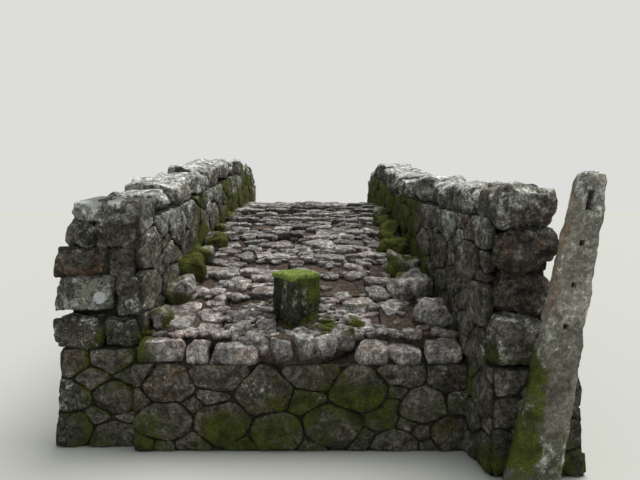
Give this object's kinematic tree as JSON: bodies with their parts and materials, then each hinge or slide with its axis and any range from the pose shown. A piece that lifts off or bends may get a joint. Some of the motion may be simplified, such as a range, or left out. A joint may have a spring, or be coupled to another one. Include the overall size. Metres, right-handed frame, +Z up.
{
  "type": "stone arch bridge",
  "caption": "Narrow hump-backed granite footbridge: one low stone arch, rough parapets with big cap stones, a cobbled deck, a square bollard and a leaning slotted post.",
  "frame": {"origin": "middle of the part's box at the level of its base", "axes": "+Y along the deck from the near end with the bollard to the far end, +X to the right, +Z up"},
  "size_m": [4.6062, 10.79, 2.6987],
  "materials": {
    "rubble_masonry": "rough",
    "arch_stone": "rough",
    "cap_stone": "rough",
    "paving_stone": "rough",
    "mossy_granite": "rough",
    "pale_granite": "rough"
  },
  "bodies": {
    "root": {"arch_barrel": "arch_stone", "bollard": "mossy_granite", "bollard_bed": "paving_stone", "deck_paving_far": "paving_stone", "deck_paving_near": "paving_stone", "far_abutment": "rubble_masonry", "far_left_end_bed_stones": "cap_stone", "far_left_end_tie_stones": "cap_stone", "far_right_end_bed_stones": "cap_stone", "far_right_end_tie_stones": "cap_stone", "far_toe_kerb": "paving_stone", "left_far_coping": "cap_stone", "left_far_parapet": "rubble_masonry", "left_far_spandrel": "rubble_masonry", "left_far_wing_wall": "rubble_masonry", "left_near_coping": "cap_stone", "left_near_parapet": "rubble_masonry", "left_near_spandrel": "rubble_masonry", "left_near_wing_wall": "rubble_masonry", "left_voussoirs": "arch_stone", "near_abutment": "rubble_masonry", "near_left_end_boulder": "cap_stone", "near_left_end_cap": "cap_stone", "near_left_end_foot": "cap_stone", "near_left_end_lower": "cap_stone", "near_left_end_upper": "cap_stone", "near_right_end_cap": "cap_stone", "near_right_end_foot": "cap_stone", "near_right_end_lower": "cap_stone", "near_right_end_upper": "cap_stone", "near_toe_kerb": "paving_stone", "right_far_coping": "cap_stone", "right_far_parapet": "rubble_masonry", "right_far_spandrel": "rubble_masonry", "right_far_wing_wall": "rubble_masonry", "right_near_coping": "cap_stone", "right_near_parapet": "rubble_masonry", "right_near_spandrel": "rubble_masonry", "right_near_wing_wall": "rubble_masonry", "right_voussoirs": "arch_stone", "slotted_post": "pale_granite"}
  },
  "joints": []
}
